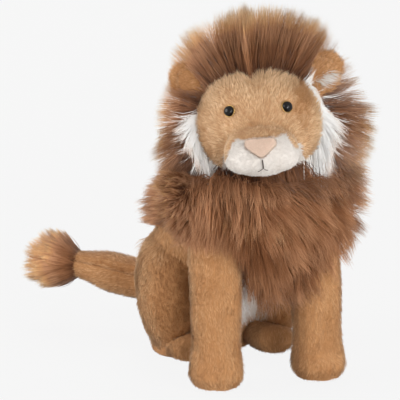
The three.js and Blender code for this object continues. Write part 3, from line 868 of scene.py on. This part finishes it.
# The way that white strands face, so that the light from the front reaches them.
FORWARD = outward(np.array([0.4, -0.75, 0.5]), HEAD_TURN)


def nearest(places, nodes):
    """The number of the node whose solid is nearest to each place."""
    trees = [Surface(frame["nodes"][name]).tree for name in nodes]
    gaps = np.array([[tree.find_nearest(Vector(p))[3] for tree in trees] for p in places])
    return gaps.argmin(1)


def skin_of(node):
    """The name of the skin that a node lies on, and all the nodes of that skin."""
    return next(((own, nodes) for own, nodes in STANDS_FOR.items() if node in nodes), (node, [node]))


def pile(node, per_square_mm, length, comb, body, slot, keep=None, white=None, lengths=None, tint=None,
         kind="tan_pile", lift=0.5, width=0.44):
    """The short pile of one node, on its own skin or on its part of one."""
    rng = np.random.default_rng(list(node.encode()))
    own, nodes = skin_of(node)
    places, normals = surfaces[own].roots(per_square_mm, rng)
    shown = (normals[:, 2] > UNDERSIDE) | (places[:, 2] > SOLE)
    shown &= nearest(places, nodes) == nodes.index(node)
    if keep is not None:
        shown &= keep(places) > rng.random(len(places))
    places, normals = places[shown], normals[shown]
    shown = ~buried(places, normals, own)
    places, normals = places[shown], normals[shown]
    count = len(places)
    brushed = drift(places, PATCH, 1)
    swept = lying(brushed, normals) * np.linalg.norm(brushed, axis=1)[:, None]
    combed = unit(comb(places, normals) + swept * 0.8)
    starts = unit(normals * lift + combed * (1 - lift) + rng.normal(0, 0.2, (count, 3)))
    ends = unit(combed + normals * 0.1 + rng.normal(0, 0.14, (count, 3)))
    longs = length * MM * rng.uniform(0.75, 1.2, count)
    if lengths is not None:
        longs = longs * lengths(places)
    lines = grown(places - normals * ROOT_DEPTH * MM, starts, ends, longs, PILE_STEPS)
    lines, owner = clumped(lines, LOCK, 0.4, rng)
    tone = 0.55 + 0.45 * brushed[:, 0] + 0.12 * rng.normal(size=count)[owner] + 0.1 * rng.normal(size=count)
    if tint is not None:
        tone = tone + tint(places)
    tone = tone.clip(0.03, 0.97) / 2
    if white is not None:
        pale = white(places) > rng.random(count)
        tone = np.where(pale, 1 - tone, tone)
        normals = unit(normals + FORWARD * 0.5 * pale[:, None])
    obj = strand_piece(
        f"{node}_pile", lines, rng.uniform(0.8, 1.2, count) * width * MM, tone, rng.uniform(0.8, 1, count),
        normals, 0.72, MATERIALS[kind])
    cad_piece(obj, body)


def off_collar(places):
    return 1 - on_collar(places)


def off_head_hair(places):
    return 1 - on_head_hair(places)


def head_length(places):
    """The pile stands longer along the hairline and out on the cheeks, and is clipped at the eyes."""
    q = local(places, HEAD_TURN)
    rim = ramp_mm(behind_hairline(q), -12, -2)
    from_eyes = [np.linalg.norm(places - np.array(EYE_PLACE[side]) * MM, axis=1) for side in SIDES]
    eyes = sum(bell(gap, 0, 8 * MM) for gap in from_eyes)
    return 1 + rim * (0.5 + 0.7 * ramp_mm(q[:, 2], 20, 38)) - 0.45 * eyes


def head_tint_and_painted_light(places):
    """Darker pile beside the lion's left eye and down the bridge, paler on the brow. Painted light on the
    lion's left cheek, on the side the light comes from, and painted shade on the lion's right cheek, away
    from it.
    """
    q = local(places, HEAD_TURN) / MM
    x, _, z = q.T
    by_eye = bell(x, 35, 8) * bell(z, 18, 14)
    bridge = bell(x, 2, 20) * ramp(z, -6, 2) * ramp(-z, -28, -12)
    brow_and_painted_light = ramp(x, 40, 46) + 0.3 * ramp(z, 26, 36)
    painted_shade_right = ramp(-x, 26, 42) * ramp(-z, -30, 0)
    return 0.27 - 0.95 * by_eye - 0.42 * bridge + 0.4 * brow_and_painted_light - 0.42 * painted_shade_right


# The hollow of the lion's left ear, along its seam and up to its rim, with white pile under the fold, and
# painted shade along the fold.
EAR_FOLD_Z = [0, 7, 20, 24, 28]
EAR_FOLD_X = [-1, 1, 3, 8, 14]


def past_ear_fold(places):
    e = local(places, EAR_TURN["left"]) / MM
    return e[:, 0] - np.interp(e[:, 2], EAR_FOLD_Z, EAR_FOLD_X)


def in_left_ear(places):
    return ramp(past_ear_fold(places), -2, 2)


# A dark band along the fold of the lion's left ear, low down: painted shade under the fold.
def left_ear_painted_shade(places):
    return -0.9 * bell(past_ear_fold(places), 0, 1.8) * ramp_mm(-places[:, 2], -246, -240)


def left_ear_comb(places, normals):
    """Away from the nose, and in the hollow down along the seam."""
    seam = np.array(EAR_TURN["left"].to_3x3() @ Vector((1, 0, 0.35)))
    inside = in_left_ear(places)[:, None]
    return unit(face_comb(places, normals) * (1 - inside) + lying(seam[None, :], normals) * inside)


def haunch_length(places):
    """Stray long pile over the thigh, under the edge of the mane."""
    stray = noise_share(places) < 0.07
    return by_floor(places) + (0.3 + 2.8 * stray) * ramp_mm(places[:, 2], 74, 92)


def haunch_painted_shade(places):
    """Painted shade: darker in front, where the thigh turns in behind the foreleg and lies in its shade, and
    a little paler elsewhere.
    """
    return 0.1 - ramp_mm(-places[:, 1], 27, 44)


def by_floor(places):
    """The pile is pressed short where it meets the floor."""
    return 0.4 + 0.6 * ramp_mm(places[:, 2], 1, 9)


def noise_share(places):
    """An even random share for each place, fixed by where it is."""
    return np.modf(np.abs(np.sin(places @ np.array([12989.8, 78233.0, 37719.0])) * 43758.5))[0]


def before_tuft(places):
    return ramp_mm(-local(places, TAIL_TURN)[:, 1], -88, -84)


def tail_tint(places):
    """Darker along the seam of the tail."""
    ways = surfaces["tail"].depths(places)[1]
    n = local(ways + np.array(TAIL_TURN.translation), TAIL_TURN)
    return -0.9 * bell(n[:, 2], TAIL_CREASE, 0.1) * ramp(-n[:, 0], 0.2, 0.6)


pile("torso", 0.5, 5.0, down_comb, "trunk", "tan_plush", keep=off_collar, white=on_white_belly, width=0.5,
     kind="belly_pile")
for side in SIDES:
    pile(f"foreleg_{side}", 0.95, 4.6, down_comb, "trunk", "tan_plush", keep=off_collar, lengths=by_floor)
    pile(f"haunch_{side}", 0.95, 4.8, down_comb, "trunk", "tan_plush", lengths=haunch_length,
         tint=haunch_painted_shade)
    pile(f"hind_foot_{side}", 1.0, 4.4, down_comb, "trunk", "tan_plush", lengths=by_floor)
    pile(f"ear_{side}", 2.1, 4.8, face_comb, f"ear_{side}", "tan_plush", lift=0.75)
pile("ear_lining_left", 2.6, 4.6, left_ear_comb, "ear_left", "ear_cloth", white=in_left_ear,
     lengths=lambda places: 1 + 1.2 * in_left_ear(places), tint=left_ear_painted_shade, lift=0.6)
# The lining of the lion's right ear is a little darker all over: painted shade, as that ear lies in shade.
pile("ear_lining_right", 2.6, 4.6, face_comb, "ear_right", "ear_cloth", lift=0.75,
     tint=lambda places: -0.25 * everywhere(places))
pile("belly_panel", 1.0, 4.6, down_comb, "trunk", "white_plush", white=everywhere, kind="belly_pile")
on_face = {"white": on_white_face, "tint": head_tint_and_painted_light, "kind": "face_pile"}
pile("head", 1.6, 4.6, face_comb, "head", "tan_plush", keep=off_head_hair, lengths=head_length, **on_face)
pile("snout", 1.8, 3.8, face_comb, "head", "tan_plush", **on_face)
pile("muzzle", 1.9, 3.2, face_comb, "head", "white_plush", **on_face)
pile("nose", 2.8, 3.0, face_comb, "head", "nose_cloth", kind="pink_pile", lift=0.55, width=0.36)
pile("tail", 1.1, 4.4, tail_comb, "tail", "tan_plush", keep=before_tuft, tint=tail_tint)

# The long pile. Its roots are counted to the square millimetre.
SEEDS = {"head": 201, "collar": 301, "tuft": 401}
ROOTS = {"head": 1.75, "collar": 0.9, "tuft": 3.4}
HEAD_PANELS = ["mane_crown", "mane_side_left", "mane_side_right", "mane_nape", "ruff_left", "ruff_right"]
LONG_STEPS = 5
HARD = ["torso", "foreleg_left", "foreleg_right", "head", "yoke"]
hard = Surface(*[skins[n] for n in HARD])


def long_pile(places, normals, starts, ends, lengths, rng, panels, tone_of, ride, stray=1.0):
    """Long strands in locks, each in the piece of the panel that it lies in."""
    count = len(places)
    loose = 1 + 2.2 * (rng.random((count, 1)) < 0.05)
    swept = (drift(places, 22 * MM, 2) * 0.45 + drift(places, 7 * MM, 3) * 0.25) * stray
    starts = unit(starts + swept * 0.6 + rng.normal(0, 0.1, (count, 3)))
    ends = unit(ends + swept + rng.normal(0, 0.11, (count, 3)) * loose)
    lines = grown(places - normals * 0.5 * MM, starts, ends, lengths, LONG_STEPS)
    lines, big = clumped(lines, 9 * MM, 0.3, rng, 1.5)
    lines, fine = clumped(lines, 2.6 * MM, 0.46, rng, 1.2)
    way = np.linspace(0, 1, LONG_STEPS)
    lines += rng.normal(0, 0.7 * MM, (count, 1, 3)) * (np.sin(4 * way) * way)[None, :, None]
    lines = hard.clear(lines, 1.0 * MM)
    tone, reach = tone_of(places, lines, big, fine, rng)
    widths = rng.uniform(0.75, 1.25, count) * 0.48 * MM
    centre = nearest(lines[:, 2], panels)
    for i, panel in enumerate(panels):
        mine = centre == i
        pale = (tone[mine] > 0.5)[:, None]
        way = unit(lines[mine, 3] - lines[mine, 0])
        volume = unit(normals[mine] * 0.6 + np.where(pale, FORWARD, way * 0.4))
        obj = strand_piece(f"{panel}_pile", lines[mine], widths[mine], tone[mine], reach[mine], volume, 0.6,
                           MATERIALS["brown_pile"])
        ride(obj)
        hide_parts(panel)


def brown_tone(lines, big, fine, rng):
    """Each strand's tone, most of it shared by its lock, and how far along the colours its tip comes."""
    count = len(lines)
    tone = 0.54 + 0.22 * rng.normal(size=count)[big] + 0.17 * rng.normal(size=count)[fine]
    tone += 0.1 * rng.normal(size=count)
    return tone.clip(0.03, 0.97) / 2, rng.uniform(0.7, 0.86, count)


def head_tone(places, lines, big, fine, rng):
    tone, reach = brown_tone(lines, big, fine, rng)
    # Strands whose tips stand out at the mane's rim reach further along the colours, to their pale end:
    # painted light, where the light shines through them.
    tip = local(lines[:, -1], HEAD_TURN)
    reach = reach + 0.26 * ramp_mm(np.hypot(tip[:, 0], tip[:, 2] + 4 * MM), 68, 86)
    pale = on_ruff(local(places, HEAD_TURN)) > noise_share(places)
    reach = np.where(pale, rng.uniform(0.68, 1, len(places)), reach)
    return np.where(pale, 1 - tone, tone), reach.clip(0, 1)


def collar_tone(places, lines, big, fine, rng):
    tone, reach = brown_tone(lines, big, fine, rng)
    tip = lines[:, -1] - TRUNK_MIDDLE
    chest = ramp_mm(-places[:, 1], 96, 116)
    # shade is painted shade, on the lion's right of the chest under the head; the front of the chest is also
    # made a little darker, with less pale tips.
    shade = bell_mm(places[:, 0], -24, 20) * bell_mm(places[:, 2], 128, 16) * chest
    # Strands whose tips stand out at the sides reach the pale end of the colours: painted light, where the
    # light shines through them at the mane's edge.
    reach = reach + 0.24 * ramp_mm(np.abs(tip[:, 0]), 70, 86) - 0.08 * chest - 0.2 * shade
    return (tone - 0.14 * shade - 0.03 * chest).clip(0.015, 0.485), reach.clip(0, 1)


EAR_SHOWN = {"left": (-9, 18), "right": (-5, 7)}


def ear_crop(places):
    """What is left of the pile's length: little in front of an ear, which it would hide."""
    found = np.ones(len(places))
    for side, sign in SIDES.items():
        e = local(places, EAR_TURN[side]) / MM
        low, high = EAR_SHOWN[side]
        across = e[:, 0] * sign
        shown = ramp(across, low - 3, low + 3) * ramp(-across, -high - 3, 3 - high) * ramp(e[:, 2], -26, -18)
        found -= shown * (0.08 + 0.68 * ramp(-e[:, 1], -3, 1))
    return found


RUFF_ANGLES = [50, 70, 88, 104, 118]
RUFF_LENGTHS = [36, 33, 27, 32, 46]


def make_head_mane():
    rng = np.random.default_rng(SEEDS["head"])
    places, normals = surfaces["head"].roots(ROOTS["head"], rng)
    q = local(places, HEAD_TURN)
    thin = 1 - 0.35 * ramp_mm(q[:, 1], 10, 30)
    mine = (on_head_hair(places) > 0.5) & (places[:, 2] > 167 * MM) & (thin > rng.random(len(places)))
    places, normals, q = places[mine], normals[mine], q[mine]
    x, y, z = q.T
    rise, back = np.array([0, 0, 1.0]), np.array([0, 1.0, 0])
    radial = unit(q * [1, 0, 1] + np.array([0, 0, 4]) * MM)
    top = ramp_mm(z, 8, 34)[:, None]
    low = ramp_mm(-z, 22, 38)[:, None]
    behind = ramp_mm(y, 0, 42)[:, None]
    front = ramp_mm(-y, -4, 8)[:, None]
    beside = ramp_mm(-z, -20, 4)[:, None]
    drop = ramp_mm(-z, -4, 20)[:, None] * behind
    ends = radial + rise * (top * 0.35 - beside * 0.4 - low * 0.9 - drop * 0.8)
    ends = ends + back * (0.9 * behind - 1.1 * low * front)
    white = on_ruff(q) > noise_share(places)
    along = np.stack([radial[:, 2], 0 * radial[:, 1], -radial[:, 0]], 1) * np.sign(radial[:, :1])
    lean = np.where(x > 0, 0.48, 0.2) * (1 - ramp(ruff_angle(q), 62, 108))
    ends = np.where(white[:, None], along * 0.85 + radial * lean[:, None] - back * 0.25, ends)
    ends = outward(unit(ends), HEAD_TURN)
    starts = unit(normals * np.where(white, 0.45, 0.8)[:, None] + ends * 0.7)
    sided = 47 - 12 * ramp_mm(-x, -20, 20) * ramp_mm(z, -16, 4)
    lengths = 51 * top[:, 0] + sided * (1 - top[:, 0]) + 8 * low[:, 0]
    spread = 0.1 + 0.2 * low[:, 0]
    spread = np.where(white, 0.2 + 0.15 * ramp(ruff_angle(q), 96, 108), spread)
    lengths = np.where(white, np.interp(ruff_angle(q), RUFF_ANGLES, RUFF_LENGTHS), lengths)
    lengths = lengths * (1 + spread * rng.uniform(-1.4, 0.8, len(places))) * MM
    lengths = lengths * ear_crop(places)
    long_pile(places, normals, starts, ends, lengths, rng, HEAD_PANELS, head_tone,
              lambda obj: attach(obj, "head"))


ROOTED = ["yoke", "torso", "foreleg_left", "foreleg_right"]
TRUNK_MIDDLE = np.array([0, -60 * MM, 0])


def make_collar():
    rng = np.random.default_rng(SEEDS["collar"])
    places, normals = Surface(*[skins[name] for name in ROOTED]).roots(ROOTS["collar"], rng)
    thin = 1 - 0.35 * ramp_mm(places[:, 1], -66, -30) - 0.18 * ramp_mm(places[:, 0], 10, 30)
    mine = (places[:, 2] > collar_edge(places)) & (thin > rng.random(len(places)))
    under_head = (places[:, 1] > -98 * MM) & (places[:, 1] < -64 * MM) & (np.abs(places[:, 0]) < 44 * MM)
    mine &= (normals[:, 2] < 0.8) | (places[:, 2] < 146 * MM) | ~under_head
    places, normals = places[mine], normals[mine]
    for name in ROOTED:
        free = surfaces[name].depths(places + normals * PROBE)[0] > 0.2 * MM
        places, normals = places[free], normals[free]
    away = unit((places - TRUNK_MIDDLE) * [1, 1, 0])
    high = ramp_mm(places[:, 2], 112, 150)[:, None]
    front = ramp(-away[:, 1], 0.5, 0.95)[:, None]
    chest = bell_mm(places[:, 0], 12, 24)[:, None] * front
    droop = 0.62 - 0.15 * high - 0.36 * ramp(-away[:, :1], 0.3, 0.8)
    ends = away * (0.72 + 0.28 * high) + DOWN * droop
    sideways = np.array([1, 0, 0]) * (0.3 * chest + 0.15 * front)
    ends = ends * (1 - front) + (away * (0.25 + 0.25 * high) + DOWN + sideways) * front
    starts = unit(normals * 0.9 + ends * 0.6)
    sided = (25 + 10 * ramp(away[:, 0], -0.4, 0.6)) * (1 - 0.12 * high[:, 0])
    above = ramp_mm(places[:, 2] - collar_edge(places), 0, 24)
    lengths = (45 * front[:, 0] + sided * (1 - front[:, 0])) * (0.7 + 0.3 * np.maximum(above, chest[:, 0]))
    lengths = lengths * rng.uniform(0.66, 1.14, len(places)) * MM
    long_pile(places, normals, starts, unit(ends), lengths, rng, COLLAR_PANELS, collar_tone,
              lambda obj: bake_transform(obj), 1.5)


def make_tuft():
    rng = np.random.default_rng(SEEDS["tuft"])
    places, normals = surfaces["tail"].roots(ROOTS["tuft"], rng)
    mine = local(places, TAIL_TURN)[:, 1] > 87 * MM
    places, normals = places[mine], normals[mine]
    count = len(places)
    axis = np.array(TAIL_TURN.to_3x3() @ Vector((0, 1, 0)))
    across = normals - axis * (normals @ axis)[:, None]
    split = 0.42 + 0.3 * across[:, 2:] + 0.25 * np.abs(across[:, 2:])
    ends = unit(axis + across * split + rng.normal(0, 0.13, (count, 3)))
    starts = unit(across * 0.7 + axis * 0.8 + rng.normal(0, 0.1, (count, 3)))
    lines = grown(places, starts, ends, rng.uniform(21, 31, count) * MM, LONG_STEPS)
    lines, big = clumped(lines, 7 * MM, 0.35, rng, 1.5)
    lines, fine = clumped(lines, 2.6 * MM, 0.5, rng, 1.2)
    tone, reach = brown_tone(lines, big, fine, rng)
    # The tuft's tone is raised and its tips reach further along the colours, so it is paler: painted light,
    # standing in for the light that falls on its thin strands.
    tone = (tone + 0.14).clip(0, 0.47)
    obj = strand_piece("tail_tuft_pile", lines, rng.uniform(0.38, 0.58, count) * MM, tone,
                       (reach + 0.24).clip(0, 1), normals, 0.6, MATERIALS["brown_pile"])
    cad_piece(obj, "tail", ["tail_tuft"])


make_head_mane()
make_collar()
make_tuft()


# The eyes: a glossy dome in a thin gold ring, turned round the axis of each eye's solid.
EYE_PROFILE = [
    (1.6, -6.0, 1), (1.7, -0.4, 1), (4.6, -0.4, 1), (5.0, 0.0, 1), (5.05, 0.5, 1), (4.85, 0.95, 1),
    (4.5, 1.1, 1), (4.35, 0.9, 0), (4.3, 1.0, 0), (4.22, 1.6, 0), (3.95, 2.4, 0), (3.5, 3.15, 0),
    (2.85, 3.75, 0), (2.0, 4.2, 0), (1.0, 4.45, 0),
]
EYE_TOP = 4.52
EYE_SPOKES = 40


def circle(spokes):
    """The cosine and sine of each spoke."""
    return [(math.cos(2 * math.pi * k / spokes), math.sin(2 * math.pi * k / spokes)) for k in range(spokes)]


def finished(name, points, faces, *materials):
    """A smooth piece of these points and faces."""
    mesh = bpy.data.meshes.new(name)
    mesh.from_pydata(points, [], faces)
    for material in materials:
        mesh.materials.append(MATERIALS[material])
    mesh.polygons.foreach_set("use_smooth", np.ones(len(faces), bool))
    mesh.update()
    return link_piece(name, mesh)


def make_eye(side):
    """The first points of the profile are of the ring and the shank, in the second material."""
    turned = Vector(EYE_AXIS[side]).to_track_quat("Z", "Y").to_matrix().to_4x4()
    seat = Matrix.Translation(Vector(EYE_PLACE[side]) * MM) @ turned
    points = [Vector((0, 0, EYE_PROFILE[0][1]))]
    for radius, height, _ in EYE_PROFILE:
        points += [Vector((radius * x, radius * y, height)) for x, y in circle(EYE_SPOKES)]
    points.append(Vector((0, 0, EYE_TOP)))
    faces, kinds = [], []
    for ring, (_, _, kind) in enumerate(EYE_PROFILE[:-1]):
        for k in range(EYE_SPOKES):
            low, n = 1 + ring * EYE_SPOKES, (k + 1) % EYE_SPOKES
            faces.append([low + k, low + n, low + EYE_SPOKES + n, low + EYE_SPOKES + k])
            kinds.append(kind)
    top = 1 + (len(EYE_PROFILE) - 1) * EYE_SPOKES
    for k in range(EYE_SPOKES):
        n = (k + 1) % EYE_SPOKES
        faces += [[0, 1 + n, 1 + k], [top + k, top + n, len(points) - 1]]
        kinds += [1, 0]
    obj = finished(f"eye_{side}_dome", [seat @ (p * MM) for p in points], faces, "black_gloss", "gold_ring")
    obj.data.polygons.foreach_set("material_index", np.array(kinds, np.int32))
    obj.data.update()
    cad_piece(obj, "head", [f"eye_{side}"])


# The mouth: dark thread, down from the nose and out to each side, on the pile of the muzzle.
MOUTH_LINES = [
    ([(0.4, -13.5), (0.6, -16), (0.8, -18.5), (0.7, -20.6)], 0.52),
    ([(0.7, -20.4), (-0.6, -21.4), (-2.2, -22.2), (-3.8, -22.6)], 0.26),
    ([(0.7, -20.4), (1.8, -21.3), (3.0, -21.9), (4.2, -22.0)], 0.22),
]
THREAD_SIDES = 6
THREAD_STEPS = 13
THREAD_LIFT = 1.8


def make_mouth():
    points, faces = [], []
    muzzle = surfaces["head"].tree
    for route, radius in MOUTH_LINES:
        laid = []
        for t in np.linspace(0, len(route) - 1, THREAD_STEPS):
            x = np.interp(t, range(len(route)), [p[0] for p in route]) * MM
            z = np.interp(t, range(len(route)), [p[1] for p in route]) * MM
            start = HEAD_TURN @ Vector((x, -0.12, z))
            hit, normal, _, _ = muzzle.ray_cast(start, HEAD_TURN.to_3x3() @ Vector((0, 1, 0)))
            laid.append(hit + normal * THREAD_LIFT * MM)
        for i, place in enumerate(laid):
            way = (laid[min(i + 1, len(laid) - 1)] - laid[max(i - 1, 0)]).normalized()
            side = way.cross(Vector((0, 1, 0))).normalized()
            up = side.cross(way)
            thin = radius * MM * (0.6 if i in (0, len(laid) - 1) else 1)
            points += [place + (side * x + up * y) * thin for x, y in circle(THREAD_SIDES)]
        first = len(points) - len(laid) * THREAD_SIDES
        for i in range(len(laid) - 1):
            for k in range(THREAD_SIDES):
                low, n = first + i * THREAD_SIDES, (k + 1) % THREAD_SIDES
                faces.append([low + n, low + k, low + THREAD_SIDES + k, low + THREAD_SIDES + n])
        faces.append([first + k for k in range(THREAD_SIDES)])
        faces.append([len(points) - 1 - k for k in range(THREAD_SIDES)])
    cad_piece(finished("mouth_stitch", points, faces, "thread"), "head")


for side in SIDES:
    make_eye(side)
make_mouth()

# The nodes that stay: the pellet bag and the lock washers.
STAYING = {"pellet_bag": "pellet_cloth", "eye_washer_left": "nylon", "eye_washer_right": "nylon"}
for node, material in STAYING.items():
    for place in frame["nodes"][node].material_slots:
        place.material = MATERIALS[material]
